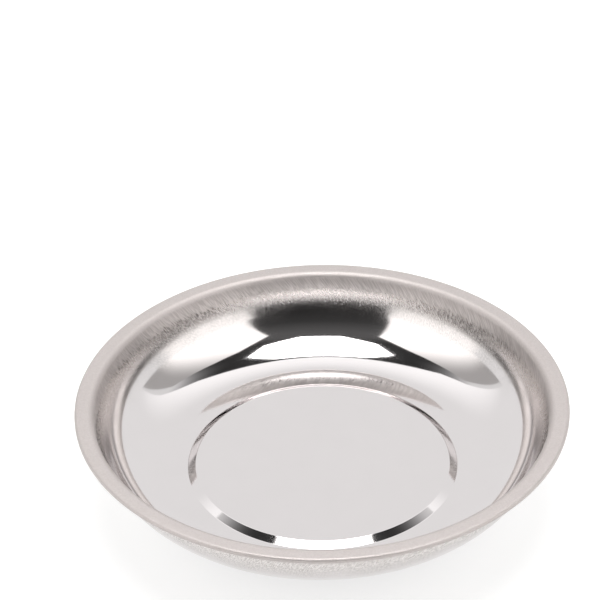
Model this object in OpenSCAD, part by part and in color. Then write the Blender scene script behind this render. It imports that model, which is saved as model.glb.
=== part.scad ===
// Round magnetic parts sorting tray: a pressed stainless dish bolted to a rubber-covered
// ring magnet. Millimetres, +Z up, origin under the dish's centre where the rubber base rests.

/* [Dish] */
// Outside diameter over the turned-down lip
dish_d = 150; // [146:1:156]
// Height of the flange above the flat floor
dish_depth = 23.3; // [22:0.1:24]
// Thickness of the stainless sheet
sheet_t = 0.6; // [0.4:0.1:0.7]
// Height of the turned-down lip at the edge of the flange
lip_h = 1.2; // [1:0.1:2]
// Outside bend radius between the flange and the lip
lip_bend_r = 0.8; // [0.8:0.1:1]
// Distance from the lip to the start of the bend into the bowl
flange_w = 3.9; // [3:0.1:4.2]
// Bend radius from the flange into the bowl wall
rim_bend_r = 2; // [1.5:0.1:3]
// Radius of the flat floor, up to where the wall starts to rise
floor_r = 46.9; // [45:0.1:47.5]

/* [Raised seat] */
// Radius of the raised seat's flat top
seat_top_r = 38.7; // [38.2:0.1:39.2]
// Radius of the step's foot on the floor
seat_base_r = 41.6; // [41:0.1:42]
// Height of the seat above the floor
seat_h = 1.3; // [1:0.05:1.6]

/* [Magnet] */
// Outside diameter of the ferrite ring
magnet_d = 72; // [64:0.5:72]
// Hole diameter of the ferrite ring
magnet_hole_d = 32; // [32:0.5:36]
// Thickness of the ferrite ring
magnet_t = 8; // [8:0.5:10]

/* [Rubber base] */
// Wall thickness of the rubber cover round the magnet
cover_wall = 1.85; // [1.6:0.05:1.9]
// Thickness of the rubber under the magnet
cover_floor = 2; // [1.8:0.1:2.4]
// Thickness of the rubber lip between the magnet and the dish
cover_lip_t = 0.8; // [0.8:0.1:1.2]
// Radius of the opening for the nut
cover_opening_r = 13.5; // [12:0.1:14]
// Number of grip grooves in the underside
groove_count = 3; // [1:1:4]

/* [Fastening] */
// Thickness of the pressed steel yoke plate
yoke_t = 1.2; // [1:0.1:1.5]
// Outside radius of the well that holds the nut
well_r = 15.6; // [15:0.1:15.8]
// Across flats of the M5 hexagon nut
nut_af = 8; // [8:0.5:8.5]
// Height of the nut
nut_h = 4; // [4:0.1:4.7]

/* [Hidden] */
$fn = 96;
arc_steps = 24;
bend_steps = 8;

// Heights, from the rubber base's underside upwards
magnet_z = cover_floor + yoke_t;
magnet_top_z = magnet_z + magnet_t;
seat_under_z = magnet_top_z + cover_lip_t;
floor_z = seat_under_z + sheet_t - seat_h;
well_roof_z = magnet_top_z - yoke_t;

// Bowl wall: one arc, tangent to the flat floor and to the rim bend
flange_in_r = dish_d / 2 - flange_w;
wall_run = flange_in_r - floor_r;
wall_top_slope = 2 * atan2(dish_depth, wall_run);
wall_arc_r = wall_run / sin(wall_top_slope) - rim_bend_r;

// Step of the raised seat: a straight slope between two equal bends
step_bend_r = 0.8;
step_run = seat_base_r - seat_top_r;
step_fall = 2 * step_bend_r - seat_h;
step_slope = asin(2 * step_bend_r / norm([step_run, step_fall])) - atan2(step_fall, step_run);

// Rubber cover
cover_r = magnet_d / 2 + 0.15 + cover_wall;
cover_in_r = magnet_d / 2 + 0.15;
cover_lip_w = 3;
cover_edge_r = 1.5;
groove_w = 1;
groove_depth = 0.5;

// M5 fastening
stud_r = 2.45;
stud_flange_r = 3.6;
stud_end_z = 2.4;
thread_bore_r = 2.5;
washer_r = 5;
washer_bore_r = 2.65;
washer_t = 1;
spring_r = 4.6;
spring_bore_r = 2.6;
spring_t = 1.3;
spring_gap = 0.9;

// Points on an arc round c, from angle a0 to a1
function arc(c, r, a0, a1, steps = arc_steps) =
  [for (i = [0:steps]) c + r * [cos(a0 + (a1 - a0) * i / steps), sin(a0 + (a1 - a0) * i / steps)]];

// Stations [radius, height, slope of the sheet] round a bend of radius r about c, from slope a0
// to slope a1; a negative r bends the sheet over
function bend(c, r, a0, a1, steps, first = 0) =
  [for (i = [first:steps]) let (a = a0 + (a1 - a0) * i / steps) [c.x + r * sin(a), c.y - r * cos(a), a]];

// Stations along the dish's upper face, from the axis out to the lip
function dish_stations() = concat(
  [[0, seat_h, 0]],
  bend([seat_top_r, seat_h - step_bend_r], -step_bend_r, 0, -step_slope, bend_steps),
  bend([seat_base_r, step_bend_r], step_bend_r, -step_slope, 0, bend_steps),
  bend([floor_r, wall_arc_r], wall_arc_r, 0, wall_top_slope, arc_steps),
  bend([flange_in_r, dish_depth - rim_bend_r], -rim_bend_r, wall_top_slope, 0, bend_steps, first = 1),
  bend([dish_d / 2 - lip_bend_r, dish_depth - lip_bend_r], -lip_bend_r, 0, -90, bend_steps),
  [[dish_d / 2, dish_depth - lip_h, -90]]
);

// The same stations moved down through the sheet, square to it
function through_sheet(s) = [s[0] + sheet_t * sin(s[2]), s[1] - sheet_t * cos(s[2])];

module dish() {
  stations = dish_stations();
  last = len(stations) - 1;
  color("silver")
    translate([0, 0, floor_z])
      rotate_extrude($fn = 180)
        polygon(concat(
          [for (s = stations) [s[0], s[1]]],
          [for (i = [0:last]) through_sheet(stations[last - i])]
        ));
}

// Flanged stud, welded under the middle of the raised seat
module weld_stud() {
  chamfer = 0.5;
  color("lightgray") {
    translate([0, 0, seat_under_z - cover_lip_t])
      cylinder(r = stud_flange_r, h = cover_lip_t);
    translate([0, 0, stud_end_z + chamfer])
      cylinder(r = stud_r, h = seat_under_z - cover_lip_t - stud_end_z - chamfer);
    translate([0, 0, stud_end_z])
      cylinder(r1 = stud_r - chamfer, r2 = stud_r, h = chamfer);
  }
}

// Rubber cup round the magnet, with a thin lip over its top and grip grooves underneath
module rubber_base() {
  groove_pitch = (cover_r - cover_edge_r - cover_opening_r) / (groove_count + 1);
  color([0.08, 0.08, 0.08])
    difference() {
      rotate_extrude()
        polygon(concat(
          [[cover_opening_r, 0]],
          arc([cover_r - cover_edge_r, cover_edge_r], cover_edge_r, -90, 0, 8),
          [
            [cover_r, seat_under_z],
            [cover_in_r - cover_lip_w, seat_under_z],
            [cover_in_r - cover_lip_w, magnet_top_z],
            [cover_in_r, magnet_top_z],
            [cover_in_r, cover_floor],
            [cover_opening_r, cover_floor]
          ]
        ));
      for (i = [1:groove_count])
        translate([0, 0, -1])
          ring(cover_opening_r + i * groove_pitch + groove_w / 2, groove_w, 1 + groove_depth);
    }
}

// A plain ring of outside radius r, radial width w and height h
module ring(r, w, h) {
  difference() {
    cylinder(r = r, h = h);
    translate([0, 0, -1])
      cylinder(r = r - w, h = h + 2);
  }
}

// Ferrite ring with ground faces and small chamfers
module ring_magnet() {
  chamfer = 0.6;
  outer = magnet_d / 2;
  inner = magnet_hole_d / 2;
  color([0.2, 0.2, 0.21])
    translate([0, 0, magnet_z])
      rotate_extrude()
        polygon([
          [inner + chamfer, 0], [outer - chamfer, 0], [outer, chamfer],
          [outer, magnet_t - chamfer], [outer - chamfer, magnet_t],
          [inner + chamfer, magnet_t], [inner, magnet_t - chamfer], [inner, chamfer]
        ]);
}

// Pressed steel plate under the magnet, with a well that rises through its hole
module yoke_plate() {
  mouth_bend_r = 0.8;
  roof_bend_r = 1.6;
  edge_clearance = 0.3;
  outer = magnet_d / 2 - edge_clearance;
  inner = well_r - yoke_t;
  bolt_hole_r = 2.75;
  color("gainsboro")
    rotate_extrude()
      polygon(concat(
        [[outer, cover_floor], [outer, magnet_z]],
        arc([well_r + mouth_bend_r, magnet_z + mouth_bend_r], mouth_bend_r, 270, 180, 6),
        arc([well_r - roof_bend_r, magnet_top_z - roof_bend_r], roof_bend_r, 0, 90, 8),
        [[bolt_hole_r, magnet_top_z], [bolt_hole_r, well_roof_z]],
        arc([well_r - roof_bend_r, magnet_top_z - roof_bend_r], roof_bend_r - yoke_t, 90, 0, 4),
        arc([inner + mouth_bend_r + yoke_t, magnet_z + mouth_bend_r], mouth_bend_r + yoke_t, 180, 270, 6)
      ));
}

module flat_washer() {
  color("gainsboro")
    translate([0, 0, well_roof_z - washer_t])
      ring(washer_r, washer_r - washer_bore_r, washer_t);
}

// Spring washer, flattened by the nut, with its slanting split
module spring_washer() {
  split_slant = 25;
  color("silver")
    translate([0, 0, well_roof_z - washer_t - spring_t])
      difference() {
        ring(spring_r, spring_r - spring_bore_r, spring_t);
        translate([(spring_r + spring_bore_r) / 2, 0, spring_t / 2])
          rotate([split_slant, 0, 0])
            cube([spring_r, spring_gap, 3 * spring_t], center = true);
      }
}

// M5 hexagon nut, chamfered on both faces
module hex_nut() {
  corner_r = nut_af / 2 / cos(30);
  face_r = nut_af / 2 - 0.2;
  corner_drop = (corner_r - face_r) * tan(30);
  mouth = 0.35;
  color("gainsboro")
    translate([0, 0, well_roof_z - washer_t - spring_t - nut_h])
      difference() {
        intersection() {
          cylinder(r = corner_r, h = nut_h, $fn = 6);
          rotate_extrude()
            polygon([
              [0, 0], [face_r, 0], [corner_r, corner_drop],
              [corner_r, nut_h - corner_drop], [face_r, nut_h], [0, nut_h]
            ]);
        }
        rotate_extrude()
          polygon([
            [0, -1], [thread_bore_r + mouth, -1], [thread_bore_r + mouth, 0],
            [thread_bore_r, mouth], [thread_bore_r, nut_h - mouth],
            [thread_bore_r + mouth, nut_h], [thread_bore_r + mouth, nut_h + 1], [0, nut_h + 1]
          ]);
      }
}

dish();
weld_stud();
rubber_base();
ring_magnet();
yoke_plate();
flat_washer();
spring_washer();
hex_nut();
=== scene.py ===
# %% [markdown]
# # A round magnetic parts tray
# The tray is a shallow dish pressed from thin stainless sheet, bolted to a ring magnet that sits
# in a black rubber cup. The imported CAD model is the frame: it fixes every size and place. The
# new pieces stand for the CAD nodes whose finish needs more than the plain solid can show.

# %% Load the frame
import math
import bmesh
import bpy
from mathutils import Matrix, Vector


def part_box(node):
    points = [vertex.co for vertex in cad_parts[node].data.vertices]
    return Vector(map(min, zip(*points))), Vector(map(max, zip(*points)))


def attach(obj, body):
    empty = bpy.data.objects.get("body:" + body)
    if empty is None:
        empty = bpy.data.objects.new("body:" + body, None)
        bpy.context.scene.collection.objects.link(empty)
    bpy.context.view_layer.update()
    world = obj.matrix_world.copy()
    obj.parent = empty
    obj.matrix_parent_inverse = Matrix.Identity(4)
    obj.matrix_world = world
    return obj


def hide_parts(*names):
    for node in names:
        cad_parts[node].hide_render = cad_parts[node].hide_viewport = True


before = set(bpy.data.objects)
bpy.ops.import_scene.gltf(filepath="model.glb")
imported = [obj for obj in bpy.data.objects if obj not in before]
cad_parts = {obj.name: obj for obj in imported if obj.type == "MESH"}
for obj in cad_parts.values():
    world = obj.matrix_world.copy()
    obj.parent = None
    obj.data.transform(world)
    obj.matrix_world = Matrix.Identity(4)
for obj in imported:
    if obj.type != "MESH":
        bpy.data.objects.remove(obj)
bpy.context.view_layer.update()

# %% [markdown]
# ## Measures
# Blender works in metres and a workshop in millimetres, so one constant turns one into the
# other. The outer sizes come from the CAD nodes' own boxes. The sizes inside a box, such as
# the raised seat's radius, are repeated here with the same names as in the CAD source.

# %% Read the dish's box
MM = 0.001
dish_low, dish_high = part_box("dish")
dish_r = dish_high.x
sheet_t = 0.6 * MM
floor_z = dish_low.z + sheet_t
flange_z = dish_high.z
dish_depth = flange_z - floor_z
print(f"dish radius {dish_r / MM:.2f}, floor at {floor_z / MM:.2f}, depth {dish_depth / MM:.2f} mm")

# %% [markdown]
# ## Camera
# A long lens from over a metre away keeps the round rim close to a true ellipse. The camera
# looks down at the bowl and stands low enough to show its inner back wall. It aims above the
# tray and a touch to its left, which puts the tray low in the frame, and it leans by a degree.

# %% Place the camera
view_distance = 14 * dish_r
view_height_angle = math.radians(37.624)
aim_down_angle = math.radians(34.867)
aim_left_angle = math.radians(0.417)
lean_angle = math.radians(-1.028)

camera_data = bpy.data.cameras.new("studio_camera")
camera_data.lens = 205.0
camera_data.sensor_width = 36
camera_data.clip_end = 50
camera = bpy.data.objects.new("studio_camera", camera_data)
stand_at = Vector((
    0,
    -view_distance * math.cos(view_height_angle),
    floor_z + view_distance * math.sin(view_height_angle),
))
pan = Matrix.Rotation(aim_left_angle, 4, "Z")
tilt = Matrix.Rotation(math.radians(90) - aim_down_angle, 4, "X")
roll = Matrix.Rotation(lean_angle, 4, "Z")
camera.matrix_world = Matrix.Translation(stand_at) @ pan @ tilt @ roll
bpy.context.scene.collection.objects.link(camera)
bpy.context.scene.camera = camera
bpy.context.scene.view_settings.view_transform = "Standard"
print("camera at", [round(c, 3) for c in stand_at])

# %% [markdown]
# ## Helpers for materials
# A material is a small network of nodes. One function adds a node, sets its options, and fills
# or links its inputs, so that each material below reads as a list of what it is made of. Another
# turns a colour code, as a paint chart gives it, into the linear light that Blender works in.

# %% Add a node, read a colour, start a material
def node(tree, kind, options=None, inputs=None):
    made = tree.nodes.new(kind)
    for name, value in (options or {}).items():
        setattr(made, name, value)
    for name, value in (inputs or {}).items():
        if isinstance(value, bpy.types.NodeSocket):
            tree.links.new(value, made.inputs[name])
        else:
            made.inputs[name].default_value = value
    return made


def srgb(code, alpha=1.0):
    channels = [int(code[i:i + 2], 16) / 255 for i in (1, 3, 5)]
    linear = [c / 12.92 if c <= 0.04045 else ((c + 0.055) / 1.055) ** 2.4 for c in channels]
    return (*linear, alpha)


def new_material(name):
    material = bpy.data.materials.new(name)
    material.use_nodes = True
    tree = material.node_tree
    tree.nodes.clear()
    return material, tree


print("white paper in linear light:", [round(c, 3) for c in srgb("#F2F2F0")[:3]])

# %% [markdown]
# ## The studio
# A polished bowl shows almost nothing of its own: it shows the room. So the room is built with
# as much care as the tray. Seen from the bowl, an eight-sided softbox hangs straight above in
# dark surroundings, two white boards stand left and right, and everything beyond is a pale
# backdrop. Each is a sheet of mesh, placed by the direction in which the bowl sees it: an
# outline's numbers are distances sideways and back, as shares of the studio's height.

# %% Make a flat sheet that hangs over the tray
studio_h = 1.2


def keep_sheet(sheet, name):
    mesh = bpy.data.meshes.new(name)
    sheet.to_mesh(mesh)
    sheet.free()
    piece = bpy.data.objects.new(name, mesh)
    bpy.context.scene.collection.objects.link(piece)
    piece.visible_camera = False
    return piece


def hang_sheet(name, outline, height=1.0):
    sheet = bmesh.new()
    reach = studio_h * height
    corners = [sheet.verts.new((x * reach, y * reach, floor_z + reach)) for x, y in outline]
    bmesh.ops.contextual_create(sheet, geom=corners)
    bmesh.ops.triangulate(sheet, faces=sheet.faces[:])
    return keep_sheet(sheet, name)


print("the studio is", studio_h, "m high")

# %% Hang a white board on each side
left_board = hang_sheet(
    "left_board",
    [(-0.6, 0.08), (-0.51, -0.1), (-0.42, -0.43), (-0.67, -0.8), (-0.98, -1.27), (-1.36, -1.93),
     (-2.6, -1.93), (-2.6, 0.85), (-0.76, 0.38)],
)
right_board = hang_sheet(
    "right_board",
    [(0.57, 0.08), (0.47, -0.1), (0.4, -0.5), (0.67, -0.83), (1.07, -1.33), (1.4, -1.8),
     (2.6, -1.8), (2.6, 0.85), (0.86, 0.41)],
)
for board in (left_board, right_board):
    print(board.name, [round(s, 2) for s in board.dimensions[:2]], "m")

# %% Hang the dark ceiling and the backdrop, which meet along one edge
behind_boards = 1.02
backdrop_front = [(-0.5, 0.325), (0, 0.305), (0.5, 0.39), (0.67, 0.46), (1.0, 0.57), (1.53, 0.67),
                  (2.6, 0.9)]
dark_ceiling = hang_sheet(
    "dark_ceiling",
    [(-2.6, 1.0), (-0.72, 0.43), *backdrop_front, (2.6, -1.8), (1.4, -1.85), (0.9, -2.3),
     (-0.9, -2.3), (-1.37, -1.97), (-2.6, -1.93)],
    height=behind_boards,
)
bright_backdrop = hang_sheet(
    "bright_backdrop",
    [(-2.6, 0.98), (-0.72, 0.44), *backdrop_front, (2.6, 1.7), (-2.6, 1.7)],
)
print("dark ceiling", [round(s, 2) for s in dark_ceiling.dimensions[:2]], "m")

# %% Stand upright sheets round the tray: dark behind the camera, pale beside it
upright_r = 2.75
upright_low = floor_z + upright_r * math.tan(math.radians(7))
upright_top = floor_z + studio_h * behind_boards


def stand_sheet(name, from_degrees, to_degrees):
    sheet = bmesh.new()
    edge = [sheet.verts.new((0, -upright_r, z)) for z in (upright_low, upright_top)]
    sheet.edges.new(edge)
    first_turn = Matrix.Rotation(math.radians(from_degrees), 3, "Z")
    bmesh.ops.rotate(sheet, verts=sheet.verts[:], cent=(0, 0, 0), matrix=first_turn)
    bmesh.ops.spin(
        sheet, geom=sheet.verts[:] + sheet.edges[:], cent=(0, 0, 0), axis=(0, 0, 1),
        angle=math.radians(to_degrees - from_degrees), steps=24, use_duplicate=False,
    )
    return keep_sheet(sheet, name)


dark_curtain = stand_sheet("dark_curtain", -35, 35)
right_screen = stand_sheet("right_screen", 35, 85)
left_screen = stand_sheet("left_screen", -85, -35)
print(f"upright sheets from {upright_low:.2f} to {upright_top:.2f} m")

# %% Hang the softbox, an octagon with two sides square to the camera
softbox_height = 0.98 * studio_h
softbox_flat_r = 0.317 * softbox_height
softbox_centre = (0.003 * studio_h, -0.05 * studio_h, floor_z + softbox_height)
softbox_sheet = bmesh.new()
bmesh.ops.create_circle(
    softbox_sheet, cap_ends=True, segments=8, radius=softbox_flat_r / math.cos(math.pi / 8),
    matrix=Matrix.Translation(softbox_centre) @ Matrix.Rotation(math.pi / 8, 4, "Z"),
)
softbox = keep_sheet(softbox_sheet, "softbox")
print("softbox across flats", round(2 * softbox_flat_r, 3), "m")

# %% Lay the table a hair under the rubber, so that the two faces don't share a plane
table_drop = 0.05 * MM
table_sheet = bmesh.new()
bmesh.ops.create_grid(
    table_sheet, x_segments=1, y_segments=1, size=8, matrix=Matrix.Translation((0, 0, -table_drop)),
)
table = keep_sheet(table_sheet, "white_table")
table.visible_camera = True
print("table top at", -table_drop / MM, "mm")

# %% [markdown]
# ## Light in the studio
# Each sheet glows by itself, so that its brightness in the bowl can be set alone. The softbox
# is the brightest. The boards are brighter in front than behind, and the backdrop is brightest
# where it starts, just behind the softbox. The boards and screens are a touch warm.

# %% Let a sheet glow, evenly or fading from front to back
def finish_glow(tree, tone, strength):
    glow = node(tree, "ShaderNodeEmission", inputs={"Color": tone, "Strength": strength})
    node(tree, "ShaderNodeOutputMaterial", inputs={"Surface": glow.outputs[0]})


def even_glow(name, tone, strength):
    material, tree = new_material(name)
    finish_glow(tree, srgb(tone), strength)
    return material


def fading_glow(name, tone, front, back, front_strength, back_strength):
    material, tree = new_material(name)
    place = node(tree, "ShaderNodeTexCoord")
    across = node(tree, "ShaderNodeSeparateXYZ", inputs={0: place.outputs["Object"]})
    strength = node(tree, "ShaderNodeMapRange", {"interpolation_type": "SMOOTHSTEP"}, {
        "Value": across.outputs["Y"], "From Min": front * studio_h, "From Max": back * studio_h,
        "To Min": front_strength, "To Max": back_strength})
    finish_glow(tree, srgb(tone), strength.outputs["Result"])
    return material


softbox_cloth = even_glow("softbox_cloth", "#FFFFFF", 6.8)
lit_board = fading_glow("lit_white_board", "#FFFDFB", -0.3, 0.3, 1.7, 0.5)
lit_screen = even_glow("lit_side_screen", "#FFFDFB", 1.5)
lit_paper = fading_glow("backdrop_paper", "#FFFFFF", 0.3, 1.0, 1.4, 1.0)
glows = {softbox: softbox_cloth, left_board: lit_board, right_board: lit_board,
         left_screen: lit_screen, right_screen: lit_screen, bright_backdrop: lit_paper}
for sheet, glow_material in glows.items():
    sheet.data.materials.append(glow_material)
    print(sheet.name, "glows as", glow_material.name)

# %% [markdown]
# ## Black cloth
# Black cloth in a studio is never quite black. The softbox spills a little light on the cloth
# just in front of it, and the pale backdrop lights the cloth's two back corners, so the dark
# fades there instead of ending in a hard edge.

# %% Light the cloth a little near the softbox and at its back corners
black_cloth, tree = new_material("black_studio_cloth")
place = node(tree, "ShaderNodeTexCoord")
across = node(tree, "ShaderNodeSeparateXYZ", inputs={0: place.outputs["Object"]})
share = node(tree, "ShaderNodeMapRange", inputs={
    "Value": across.outputs["Y"], "From Min": -2 * studio_h, "From Max": 0.6 * studio_h})
spill = node(tree, "ShaderNodeValToRGB", inputs={"Fac": share.outputs["Result"]})
for position, glow_level in ((0.35, 0.05), (0.56, 0.12), (0.62, 0.12), (0.68, 0.04)):
    stop = spill.color_ramp.elements.new(position)
    stop.color = (glow_level, glow_level, glow_level, 1)
for end in (0, -1):
    spill.color_ramp.elements[end].color = (0.03, 0.03, 0.03, 1)

aside = node(tree, "ShaderNodeMath", {"operation": "ABSOLUTE"}, {0: across.outputs["X"]})
out_share = node(tree, "ShaderNodeMapRange", {"interpolation_type": "SMOOTHSTEP"}, {
    "Value": aside.outputs[0], "From Min": 0.35 * studio_h, "From Max": 0.95 * studio_h})
back_share = node(tree, "ShaderNodeMapRange", {"interpolation_type": "SMOOTHSTEP"}, {
    "Value": across.outputs["Y"], "From Min": 0.05 * studio_h, "From Max": 0.45 * studio_h,
    "To Max": 0.9})
corner = node(tree, "ShaderNodeMath", {"operation": "MULTIPLY"}, {
    0: out_share.outputs["Result"], 1: back_share.outputs["Result"]})
cloth_tone = node(tree, "ShaderNodeMix", {"data_type": "RGBA"}, {
    "Factor": corner.outputs[0], "A": spill.outputs["Color"], "B": srgb("#FFFFFF")})
finish_glow(tree, cloth_tone.outputs["Result"], 1.0)
dark_ceiling.data.materials.append(black_cloth)
dark_curtain.data.materials.append(black_cloth)
print("black cloth has", len(tree.nodes), "nodes")

# %% [markdown]
# ## Table and surroundings
# The table is white acrylic lit from below, so that a shadow on it stays faint. Past the sheets
# there is only even white light, which a world background gives.

# %% Light the table and the world
table_white, tree = new_material("lit_white_acrylic_table")
acrylic = node(tree, "ShaderNodeBsdfPrincipled", inputs={
    "Base Color": srgb("#AAAAA9"), "Roughness": 0.6,
    "Emission Color": srgb("#FFFFFF"), "Emission Strength": 0.68})
node(tree, "ShaderNodeOutputMaterial", inputs={"Surface": acrylic.outputs[0]})
table.data.materials.append(table_white)

surroundings = bpy.data.worlds.new("pale_backdrop")
surroundings.use_nodes = True
background = surroundings.node_tree.nodes["Background"]
background.inputs["Color"].default_value = srgb("#FFFFFF")
background.inputs["Strength"].default_value = 1.0
bpy.context.scene.world = surroundings
print("table in", table_white.name, "under", surroundings.name)

# %% [markdown]
# ## A pen for round sections
# Every piece of this tray is round, so each is one section spun about the middle. A pressing is
# straight, bend, straight, bend, which a pen can draw: it goes forward along the sheet, or turns
# by some degrees on some bend radius. The bends are made by spinning the pen's last point.

# %% Draw a section
class SectionPen:
    def __init__(self, r, z):
        self.bm = bmesh.new()
        self.point = self.bm.verts.new((r, 0, z))
        self.slope = 0.0

    def forward(self, length):
        start = self.point.co.copy()
        self.point = bmesh.ops.extrude_vert_indiv(self.bm, verts=[self.point])["verts"][0]
        heading = math.radians(self.slope)
        self.point.co = start + Vector((math.cos(heading), 0, math.sin(heading))) * length

    def turn(self, radius, degrees, steps=0):
        if radius > 0:
            side = math.radians(self.slope + math.copysign(90, degrees))
            centre = self.point.co + Vector((math.cos(side), 0, math.sin(side))) * radius
            swept = bmesh.ops.spin(
                self.bm, geom=[self.point], cent=centre, axis=(0, 1, 0),
                angle=-math.radians(degrees), steps=steps, use_duplicate=False,
            )
            self.point = [g for g in swept["geom_last"] if isinstance(g, bmesh.types.BMVert)][0]
        self.slope += degrees


trial = SectionPen(0, 0)
trial.turn(1, 90, steps=8)
print("a quarter turn of radius 1 ends at r, z", [round(c, 3) for c in trial.point.co.xz])
trial.bm.free()

# %% [markdown]
# ## From section to piece
# A full spin closes on itself when its last copy is merged with its first. Where a section
# touches the axis, its copies meet in one pole, so doubles are merged before the faces are
# turned outwards. Each finished mesh then rides with the tray, and the CAD node that it stands for
# is hidden.

# %% Spin a section and keep the piece
def spin_section(bm, segments):
    bmesh.ops.spin(
        bm, geom=bm.verts[:] + bm.edges[:], cent=(0, 0, 0), axis=(0, 0, 1), angle=math.tau,
        steps=segments, use_merge=True, use_duplicate=False,
    )
    bmesh.ops.remove_doubles(bm, verts=bm.verts[:], dist=0.002 * MM)
    bmesh.ops.recalc_face_normals(bm, faces=bm.faces[:])


def keep_piece(bm, name, replaced):
    for face in bm.faces:
        face.smooth = True
    mesh = bpy.data.meshes.new(name)
    bm.to_mesh(mesh)
    bm.free()
    piece = bpy.data.objects.new(name, mesh)
    bpy.context.scene.collection.objects.link(piece)
    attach(piece, "root")
    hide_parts(replaced)
    print(name, len(mesh.polygons), "faces, box", [round(s / MM, 2) for s in piece.dimensions])
    return piece


# %% [markdown]
# ## The pressed dish
# The real dish is one stainless blank, drawn in a press: a raised seat that hides the magnet, a
# flat floor, one round wall, a flat flange, and a lip turned down so that no raw edge meets the
# hand. It is drawn here as the sheet's upper face, spun, and then given the sheet's thickness.
# Extra points stand close to each bend, so that the flats stay flat where they reflect.

# %% Work out the dish's bends
seat_top_r = 38.7 * MM
seat_base_r = 41.6 * MM
seat_h = 1.3 * MM
step_bend_r = 0.8 * MM
floor_r = 46.9 * MM
flange_w = 3.9 * MM
flange_in_r = dish_r - flange_w
rim_bend_r = 2.0 * MM
lip_bend_r = 0.8 * MM
lip_h = 1.2 * MM

step_run = seat_base_r - seat_top_r
step_fall = 2 * step_bend_r - seat_h
step_slope = math.asin(2 * step_bend_r / math.hypot(step_run, step_fall))
step_slope -= math.atan2(step_fall, step_run)
step_length = (step_run - 2 * step_bend_r * math.sin(step_slope)) / math.cos(step_slope)
wall_run = flange_in_r - floor_r
wall_slope = 2 * math.atan2(dish_depth, wall_run)
wall_arc_r = wall_run / math.sin(wall_slope) - rim_bend_r
print(f"step {math.degrees(step_slope):.1f}, wall {math.degrees(wall_slope):.1f} degrees,",
      f"wall bend {wall_arc_r / MM:.1f} mm")

# %% Draw the dish from the middle of its seat to the edge of its lip
support = 0.4 * MM
step_bend_steps = 8
wall_steps = 64
rim_bend_steps = 14
lip_bend_steps = 6
flange_flat = dish_r - lip_bend_r - flange_in_r

pen = SectionPen(0, floor_z + seat_h)
for length in (0.5 * seat_top_r, 0.5 * seat_top_r - support, support):
    pen.forward(length)
pen.turn(step_bend_r, -math.degrees(step_slope), step_bend_steps)
pen.forward(step_length)
pen.turn(step_bend_r, math.degrees(step_slope), step_bend_steps)
for length in (support, floor_r - seat_base_r - 2 * support, support):
    pen.forward(length)
pen.turn(wall_arc_r, math.degrees(wall_slope), wall_steps)
pen.turn(rim_bend_r, -math.degrees(wall_slope), rim_bend_steps)
for length in (support, flange_flat - 2 * support, support):
    pen.forward(length)
pen.turn(lip_bend_r, -90, lip_bend_steps)
pen.forward(lip_h - lip_bend_r)
print("section ends at r, z", [round(c / MM, 3) for c in pen.point.co.xz])

# %% Spin the dish and thicken it downwards
dish_bm = pen.bm
spin_section(dish_bm, segments=288)
if sum(face.normal.z for face in dish_bm.faces) < 0:
    bmesh.ops.reverse_faces(dish_bm, faces=dish_bm.faces[:])
bmesh.ops.solidify(dish_bm, geom=dish_bm.faces[:], thickness=sheet_t)
pressed_dish = keep_piece(dish_bm, "pressed_dish", "dish")

# %% [markdown]
# ## The rubber cup
# A moulded black cup grips the magnet, keeps it from chipping and stops the tray sliding. Its
# underside has rings to grip with and an opening for the nut. The section is one closed line,
# and the small radii of the mould soften each corner.

# %% Measure the cup
cup_low, cup_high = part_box("rubber_base")
magnet_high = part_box("ring_magnet")[1]
cup_r = cup_high.x
magnet_fit = 0.15 * MM
cup_in_r = magnet_high.x + magnet_fit
cup_opening_r = 13.5 * MM
cup_edge_r = 1.5 * MM
cup_lip_w = 3 * MM
cup_floor_z = 2 * MM
groove_count = 3
groove_w = 1 * MM
groove_d = 0.5 * MM
groove_pitch = (cup_r - cup_edge_r - cup_opening_r) / (groove_count + 1)
mould_r = 0.15 * MM
mould_steps = 3
print(f"cup radius {cup_r / MM:.2f}, groove every {groove_pitch / MM:.2f} mm")

# %% Draw the underside, from the opening out past the grooves
pen = SectionPen(cup_opening_r + mould_r, cup_low.z)
cup_start = pen.point
pen.forward(groove_pitch - groove_w / 2 - 2 * mould_r)
for ring in range(groove_count):
    pen.turn(mould_r, 90, mould_steps)
    pen.forward(groove_d - 2 * mould_r)
    pen.turn(mould_r, -90, mould_steps)
    pen.forward(groove_w - 2 * mould_r)
    pen.turn(mould_r, -90, mould_steps)
    pen.forward(groove_d - 2 * mould_r)
    pen.turn(mould_r, 90, mould_steps)
    if ring < groove_count - 1:
        pen.forward(groove_pitch - groove_w - 2 * mould_r)
pen.forward(cup_r - cup_edge_r - pen.point.co.x)
print("underside drawn out to", round(pen.point.co.x / MM, 2), "mm")

# %% Draw the side, the lip over the magnet and the inside
pen.turn(cup_edge_r, 90, steps=8)
pen.forward(cup_high.z - mould_r - pen.point.co.z)
pen.turn(mould_r, 90, mould_steps)
pen.forward(cup_r - cup_in_r + cup_lip_w - 2 * mould_r)
pen.turn(mould_r, 90, mould_steps)
pen.forward(cup_high.z - magnet_high.z - mould_r)
pen.turn(0, 90)
pen.forward(cup_lip_w)
pen.turn(0, -90)
pen.forward(magnet_high.z - cup_floor_z)
pen.turn(0, -90)
pen.forward(cup_in_r - cup_opening_r - mould_r)
pen.turn(mould_r, 90, mould_steps)
pen.forward(cup_floor_z - 2 * mould_r)
pen.turn(mould_r, 90, mould_steps)
print("cup section closes within", round((pen.point.co - cup_start.co).length / MM, 4), "mm")

# %% Spin the cup
cup_bm = pen.bm
spin_section(cup_bm, segments=192)
rubber_cup = keep_piece(cup_bm, "rubber_cup", "rubber_base")

# %% [markdown]
# ## The yoke plate
# A pressed steel plate under the magnet closes its field and carries a well that rises through
# the magnet's hole, so that the nut sits up out of the way. It is sheet metal too, so the pen
# draws its lower face and the sheet is thickened upwards.

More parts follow.
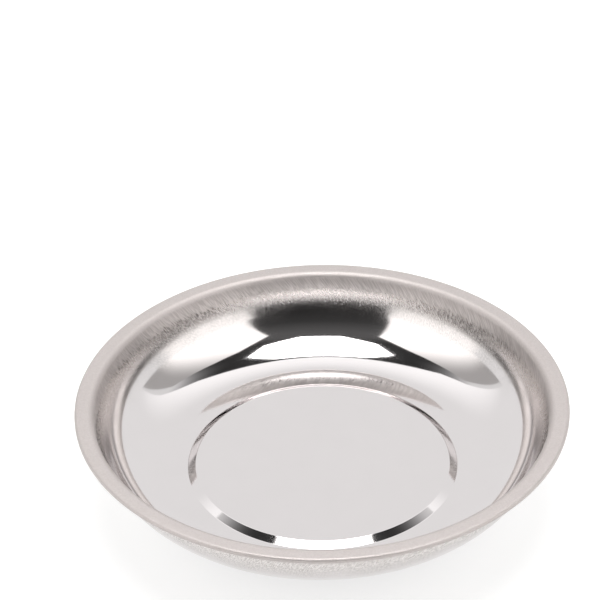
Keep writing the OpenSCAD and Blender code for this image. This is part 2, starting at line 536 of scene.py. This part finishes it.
# %% Draw the yoke plate from its bolt hole outwards
yoke_low, yoke_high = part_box("yoke_plate")
yoke_t = 1.2 * MM
well_r = 15.6 * MM
well_in_r = well_r - yoke_t
mouth_bend_r = 0.8 * MM + yoke_t
roof_bend_r = 1.6 * MM - yoke_t
bolt_hole_r = 2.75 * MM

pen = SectionPen(bolt_hole_r, yoke_high.z - yoke_t)
pen.forward(well_in_r - roof_bend_r - bolt_hole_r)
pen.turn(roof_bend_r, -90, steps=6)
pen.forward(pen.point.co.z - yoke_low.z - mouth_bend_r)
pen.turn(mouth_bend_r, 90, steps=10)
pen.forward(yoke_high.x - pen.point.co.x)
print("section ends at r, z", [round(c / MM, 3) for c in pen.point.co.xz])

# %% Spin the plate and thicken it upwards
yoke_bm = pen.bm
spin_section(yoke_bm, segments=192)
if sum(face.normal.z for face in yoke_bm.faces) > 0:
    bmesh.ops.reverse_faces(yoke_bm, faces=yoke_bm.faces[:])
bmesh.ops.solidify(yoke_bm, geom=yoke_bm.faces[:], thickness=yoke_t)
yoke = keep_piece(yoke_bm, "yoke_pressing", "yoke_plate")

# %% [markdown]
# ## The threaded stud
# An M5 stud is welded under the seat. A thread is one tooth swept along a helix: the spin
# operator can climb as it turns, by 0.8 mm in each turn. A plane then cuts each end square, and
# the points near the tip are drawn in to make its chamfer.

# %% Measure the stud and its tooth
stud_low, stud_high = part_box("weld_stud")
thread_r = 2.45 * MM
thread_pitch = 0.8 * MM
thread_root_r = thread_r - 0.49 * MM
head_t = 0.8 * MM
head_r = 3.6 * MM
shaft_top_z = stud_high.z - head_t
turns = math.ceil((shaft_top_z - stud_low.z) / thread_pitch) + 2
turn_steps = 32

# Root, flank, crest and flank, as shares of one pitch; the flanks meet at close to 60 degrees
tooth_shape = ((thread_root_r, 0), (thread_root_r, 0.2), (thread_r, 0.54), (thread_r, 0.66),
               (thread_root_r, 1))
print("the thread makes", turns, "turns before it is cut")

# %% Sweep the tooth up a helix
stud_bm = bmesh.new()
tooth_foot_z = stud_low.z - thread_pitch
tooth = [stud_bm.verts.new((r, 0, tooth_foot_z + share * thread_pitch)) for r, share in tooth_shape]
for lower, upper in zip(tooth, tooth[1:]):
    stud_bm.edges.new((lower, upper))
bmesh.ops.spin(
    stud_bm, geom=stud_bm.verts[:] + stud_bm.edges[:], cent=(0, 0, 0), axis=(0, 0, 1),
    angle=math.tau * turns, steps=turn_steps * turns, use_duplicate=False,
    dvec=(0, 0, thread_pitch / turn_steps),
)
bmesh.ops.remove_doubles(stud_bm, verts=stud_bm.verts[:], dist=0.004 * MM)
print("swept thread has", len(stud_bm.faces), "faces")

# %% Cut the ends square and chamfer the tip
for cut_z, side in ((stud_low.z, -1), (shaft_top_z, 1)):
    bmesh.ops.bisect_plane(
        stud_bm, geom=stud_bm.verts[:] + stud_bm.edges[:] + stud_bm.faces[:],
        plane_co=(0, 0, cut_z), plane_no=(0, 0, side), clear_outer=True,
    )
bmesh.ops.holes_fill(stud_bm, edges=[e for e in stud_bm.edges if e.is_boundary])
tip_r = thread_r - 0.5 * MM
for v in stud_bm.verts:
    reach = tip_r + (v.co.z - stud_low.z)
    from_axis = math.hypot(v.co.x, v.co.y)
    if from_axis > reach:
        v.co.x *= reach / from_axis
        v.co.y *= reach / from_axis
bmesh.ops.recalc_face_normals(stud_bm, faces=stud_bm.faces[:])
print("thread open edges", len([e for e in stud_bm.edges if e.is_boundary]))

# %% Add the welded head and keep the stud
head = bmesh.ops.create_cone(
    stud_bm, cap_ends=True, segments=64, radius1=head_r, radius2=head_r, depth=head_t,
    matrix=Matrix.Translation((0, 0, stud_high.z - head_t / 2)),
)
head_edges = {
    e for v in head["verts"] for e in v.link_edges
    if abs(e.verts[0].co.z - e.verts[1].co.z) < 0.001 * MM
}
bmesh.ops.bevel(
    stud_bm, geom=list(head_edges), offset=0.12 * MM, segments=2, profile=0.5,
    affect="EDGES", material=-1,
)
stud = keep_piece(stud_bm, "threaded_stud", "weld_stud")

# %% [markdown]
# ## Stainless finish
# The sheet is 18/0 stainless, which a magnet grips, with three finishes. The floor and lower
# wall are buffed to a mirror. The wall turns satin towards the top, where the polishing mop
# passed less: cloudy patches and fine slanting hairlines. The flange is etched matte. Each
# finish is a share from 0 to 1 that depends on height or radius, so one material makes all
# three and they run into each other as on a real sheet.

# %% Say where each finish lies
# A pattern's scale is how many of its patches fit in a metre
def scale_for(mm):
    return 1 / (mm * MM)


cloud_rise = 7 * MM
satin_from_z = floor_z + 9 * MM
satin_full_z = floor_z + 21 * MM
etch_from_r = flange_in_r - rim_bend_r - 0.3 * MM
etch_full_r = flange_in_r - rim_bend_r + 0.5 * MM

stainless, tree = new_material("stainless_buffed_satin_etched")
place = node(tree, "ShaderNodeTexCoord")
spot = place.outputs["Object"]
parts = node(tree, "ShaderNodeSeparateXYZ", inputs={0: spot})
flat = node(tree, "ShaderNodeVectorMath", {"operation": "MULTIPLY"}, {0: spot, 1: (1, 1, 0)})
radius = node(tree, "ShaderNodeVectorMath", {"operation": "LENGTH"}, {0: flat.outputs[0]})

# Clouds: patches 8 mm wide where the mop pressed more or less
clouds = node(tree, "ShaderNodeTexNoise", inputs={
    "Vector": spot, "Scale": scale_for(8), "Detail": 2, "Roughness": 0.5})
shifted = node(tree, "ShaderNodeMath", {"operation": "MULTIPLY_ADD"}, {
    0: clouds.outputs["Fac"], 1: cloud_rise, 2: parts.outputs["Z"]})
satin = node(tree, "ShaderNodeMapRange", {"interpolation_type": "SMOOTHSTEP"}, {
    "Value": shifted.outputs[0], "From Min": satin_from_z, "From Max": satin_full_z})
etched = node(tree, "ShaderNodeMapRange", {"interpolation_type": "SMOOTHSTEP"}, {
    "Value": radius.outputs["Value"], "From Min": etch_from_r, "From Max": etch_full_r})
print(f"etched from a radius of {etch_from_r / MM:.1f} mm, fully at {etch_full_r / MM:.1f} mm")

# %% [markdown]
# ## Hairlines and grain
# A mop leaves long scratches that slant round the wall. They are noise stretched along the
# height, on coordinates that turn about the axis as they rise, so each line leans by 33 degrees
# from upright. Real scratches and etched grain are under 0.1 mm, too fine to show in a render
# of the whole tray, so both are drawn 0.35 to 0.4 mm wide.

# %% Draw the hairlines and the etched grain
hair_lean = 0.65
lean_at_r = 70 * MM
hair_stretch = 0.015

twist = node(tree, "ShaderNodeMath", {"operation": "MULTIPLY"}, {
    0: parts.outputs["Z"], 1: -hair_lean / lean_at_r})
helix = node(tree, "ShaderNodeVectorRotate", {"rotation_type": "Z_AXIS"}, {
    "Vector": spot, "Angle": twist.outputs[0]})
drawn = node(tree, "ShaderNodeMapping", inputs={
    "Vector": helix.outputs[0], "Scale": (1, 1, hair_stretch)})
hairs = node(tree, "ShaderNodeTexNoise", inputs={
    "Vector": drawn.outputs[0], "Scale": scale_for(0.35), "Detail": 1, "Roughness": 0.5})
grain = node(tree, "ShaderNodeTexNoise", inputs={
    "Vector": spot, "Scale": scale_for(0.4), "Detail": 3, "Roughness": 0.6})
print(f"hairlines lean {math.degrees(math.atan(hair_lean)):.0f} degrees from upright")

# %% Set the roughness: mirror, satin, then matte
mirror_rough = 0.06
matte_from_z = floor_z + 17 * MM
matte_full_z = floor_z + 21 * MM

hair_rough = node(tree, "ShaderNodeMapRange", inputs={
    "Value": hairs.outputs["Fac"], "From Min": 0.3, "From Max": 0.7, "To Min": 0.2, "To Max": 0.36})
top_rough = node(tree, "ShaderNodeMapRange", inputs={
    "Value": parts.outputs["Z"], "From Min": matte_from_z, "From Max": matte_full_z,
    "To Min": 0.0, "To Max": 0.2})
satin_rough = node(tree, "ShaderNodeMath", {"operation": "ADD"}, {
    0: hair_rough.outputs["Result"], 1: top_rough.outputs["Result"]})
wall_rough = node(tree, "ShaderNodeMix", inputs={
    "Factor": satin.outputs["Result"], "A": mirror_rough, "B": satin_rough.outputs[0]})
etched_rough = node(tree, "ShaderNodeMapRange", inputs={
    "Value": grain.outputs["Fac"], "From Min": 0.3, "From Max": 0.7, "To Min": 0.54, "To Max": 0.66})
rough = node(tree, "ShaderNodeMix", inputs={
    "Factor": etched.outputs["Result"], "A": wall_rough.outputs["Result"],
    "B": etched_rough.outputs["Result"]})
print("mirror roughness", mirror_rough, "until", round((satin_from_z - cloud_rise) / MM, 1), "mm up")

# %% Cut the hairlines and the grain into the surface
hair_depth = 0.015 * MM
grain_depth = 0.02 * MM

hair_height = node(tree, "ShaderNodeMath", {"operation": "MULTIPLY"}, {
    0: hairs.outputs["Fac"], 1: satin.outputs["Result"]})
hair_bump = node(tree, "ShaderNodeBump", inputs={
    "Height": hair_height.outputs[0], "Strength": 0.18, "Distance": hair_depth})
grain_height = node(tree, "ShaderNodeMath", {"operation": "MULTIPLY"}, {
    0: grain.outputs["Fac"], 1: etched.outputs["Result"]})
grain_bump = node(tree, "ShaderNodeBump", inputs={
    "Height": grain_height.outputs[0], "Strength": 0.3, "Distance": grain_depth,
    "Normal": hair_bump.outputs["Normal"]})
print(f"hairlines {hair_depth / MM:.3f} mm deep, etched grain {grain_depth / MM:.3f} mm")

# %% Tint the steel and finish the dish
hair_share = node(tree, "ShaderNodeMapRange", inputs={
    "Value": hairs.outputs["Fac"], "From Min": 0.35, "From Max": 0.65})
hair_tint = node(tree, "ShaderNodeMix", {"data_type": "RGBA"}, {
    "Factor": hair_share.outputs["Result"], "A": srgb("#BAB6B4"), "B": srgb("#DEDAD8")})
bright_tint = node(tree, "ShaderNodeMix", {"data_type": "RGBA"}, {
    "Factor": clouds.outputs["Fac"], "A": srgb("#DEDADA"), "B": srgb("#DBD7D7")})
satin_tint = node(tree, "ShaderNodeMix", {"data_type": "RGBA"}, {
    "Factor": satin.outputs["Result"], "A": bright_tint.outputs["Result"],
    "B": hair_tint.outputs["Result"]})
etched_tint = node(tree, "ShaderNodeMix", {"data_type": "RGBA"}, {
    "Factor": grain.outputs["Fac"], "A": srgb("#CAC4C2"), "B": srgb("#BBB4B2")})
tint = node(tree, "ShaderNodeMix", {"data_type": "RGBA"}, {
    "Factor": etched.outputs["Result"], "A": satin_tint.outputs["Result"],
    "B": etched_tint.outputs["Result"]})
steel = node(tree, "ShaderNodeBsdfPrincipled", inputs={
    "Base Color": tint.outputs["Result"], "Metallic": 1.0, "Roughness": rough.outputs["Result"],
    "Normal": grain_bump.outputs["Normal"]})
node(tree, "ShaderNodeOutputMaterial", inputs={"Surface": steel.outputs[0]})
pressed_dish.data.materials.append(stainless)
print(pressed_dish.name, "in", stainless.name, "with", len(tree.nodes), "nodes")

# %% [markdown]
# ## Rubber finish
# The cup is moulded natural rubber: nearly black and matt, because its skin copies the mould's
# fine stipple. Patches about 9 mm wide have a faint grey bloom, where wax has come to the
# surface. The stipple is drawn 0.35 mm wide, coarser than the real one, so that it shows.

# %% Finish the cup
rubber, tree = new_material("moulded_natural_rubber")
place = node(tree, "ShaderNodeTexCoord")
bloom = node(tree, "ShaderNodeTexNoise", inputs={
    "Vector": place.outputs["Object"], "Scale": scale_for(9), "Detail": 6, "Roughness": 0.65})
stipple = node(tree, "ShaderNodeTexNoise", inputs={
    "Vector": place.outputs["Object"], "Scale": scale_for(0.35), "Detail": 2})
dust = node(tree, "ShaderNodeMix", {"data_type": "RGBA"}, {
    "Factor": bloom.outputs["Fac"], "A": srgb("#161617"), "B": srgb("#2A2A2C")})
dull = node(tree, "ShaderNodeMapRange", inputs={
    "Value": bloom.outputs["Fac"], "To Min": 0.5, "To Max": 0.75})
skin = node(tree, "ShaderNodeBump", inputs={
    "Height": stipple.outputs["Fac"], "Strength": 0.35, "Distance": 0.04 * MM})
shell = node(tree, "ShaderNodeBsdfPrincipled", inputs={
    "Base Color": dust.outputs["Result"], "Roughness": dull.outputs["Result"], "IOR": 1.52,
    "Normal": skin.outputs["Normal"]})
node(tree, "ShaderNodeOutputMaterial", inputs={"Surface": shell.outputs[0]})
rubber_cup.data.materials.append(rubber)
print(rubber_cup.name, "in", rubber.name)

# %% [markdown]
# ## Ferrite finish
# The magnet is sintered ferrite, a dull charcoal ceramic. Its faces are ground flat, which
# leaves straight parallel lines, so the noise is stretched along one direction. The lines are
# drawn 0.4 mm apart, wider than a grinding wheel leaves them, so that they show.

# %% Make the ferrite
ferrite, tree = new_material("ground_sintered_ferrite")
place = node(tree, "ShaderNodeTexCoord")
ground = node(tree, "ShaderNodeMapping", inputs={
    "Vector": place.outputs["Object"], "Scale": (1, 0.04, 1)})
lines = node(tree, "ShaderNodeTexNoise", inputs={
    "Vector": ground.outputs[0], "Scale": scale_for(0.4), "Detail": 3})
charcoal = node(tree, "ShaderNodeMix", {"data_type": "RGBA"}, {
    "Factor": lines.outputs["Fac"], "A": srgb("#2E2E30"), "B": srgb("#4A4A4D")})
scored = node(tree, "ShaderNodeBump", inputs={
    "Height": lines.outputs["Fac"], "Strength": 0.3, "Distance": 0.03 * MM})
ceramic = node(tree, "ShaderNodeBsdfPrincipled", inputs={
    "Base Color": charcoal.outputs["Result"], "Roughness": 0.5, "IOR": 1.8,
    "Normal": scored.outputs["Normal"]})
node(tree, "ShaderNodeOutputMaterial", inputs={"Surface": ceramic.outputs[0]})
print(ferrite.name, "has", len(tree.nodes), "nodes")

# %% [markdown]
# ## Plated steel
# The yoke, flat washer and nut are zinc-plated steel: a cool grey with soft cloudy patches
# about 3 mm wide. The spring washer is a harder steel with a darker, duller zinc. A weld
# stud has a thin flash of copper, for good contact when it is welded. One function makes all
# three, because only their colours and their polish differ.

# %% Make the plated steels
def plated_steel(name, pale, dark, smoothest, roughest):
    material, tree = new_material(name)
    place = node(tree, "ShaderNodeTexCoord")
    patches = node(tree, "ShaderNodeTexNoise", inputs={
        "Vector": place.outputs["Object"], "Scale": scale_for(3), "Detail": 5, "Roughness": 0.6})
    marks = node(tree, "ShaderNodeTexNoise", inputs={
        "Vector": place.outputs["Object"], "Scale": scale_for(0.3), "Detail": 2})
    tone = node(tree, "ShaderNodeMix", {"data_type": "RGBA"}, {
        "Factor": patches.outputs["Fac"], "A": srgb(pale), "B": srgb(dark)})
    worn = node(tree, "ShaderNodeMapRange", inputs={
        "Value": patches.outputs["Fac"], "From Min": 0.3, "From Max": 0.7,
        "To Min": smoothest, "To Max": roughest})
    pits = node(tree, "ShaderNodeBump", inputs={
        "Height": marks.outputs["Fac"], "Strength": 0.2, "Distance": 0.02 * MM})
    metal = node(tree, "ShaderNodeBsdfPrincipled", inputs={
        "Base Color": tone.outputs["Result"], "Metallic": 1.0,
        "Roughness": worn.outputs["Result"], "Normal": pits.outputs["Normal"]})
    node(tree, "ShaderNodeOutputMaterial", inputs={"Surface": metal.outputs[0]})
    return material


zinc_steel = plated_steel("bright_zinc_plate", "#D6DADF", "#B9BFC6", 0.22, 0.36)
spring_steel = plated_steel("zinc_plated_spring_steel", "#C3C7CC", "#9FA5AC", 0.28, 0.42)
stud_steel = plated_steel("copper_flashed_weld_steel", "#CDB7A8", "#B39A8A", 0.3, 0.45)
yoke.data.materials.append(zinc_steel)
stud.data.materials.append(stud_steel)
print(yoke.name, "in", zinc_steel.name, "and", stud.name, "in", stud_steel.name)

# %% [markdown]
# ## Pieces kept from the CAD
# The magnet, washers and nut already have the right shape, with their chamfers and the spring
# washer's slanting split. Such a piece stays as it is and only gets its finish.

# %% Give the CAD pieces that stay their finish
kept_finish = {"ring_magnet": ferrite, "flat_washer": zinc_steel, "hex_nut": zinc_steel,
               "spring_washer": spring_steel}
for name, material in kept_finish.items():
    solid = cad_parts[name]
    solid.data.materials.clear()
    solid.data.materials.append(material)
    print(name, "in", material.name)
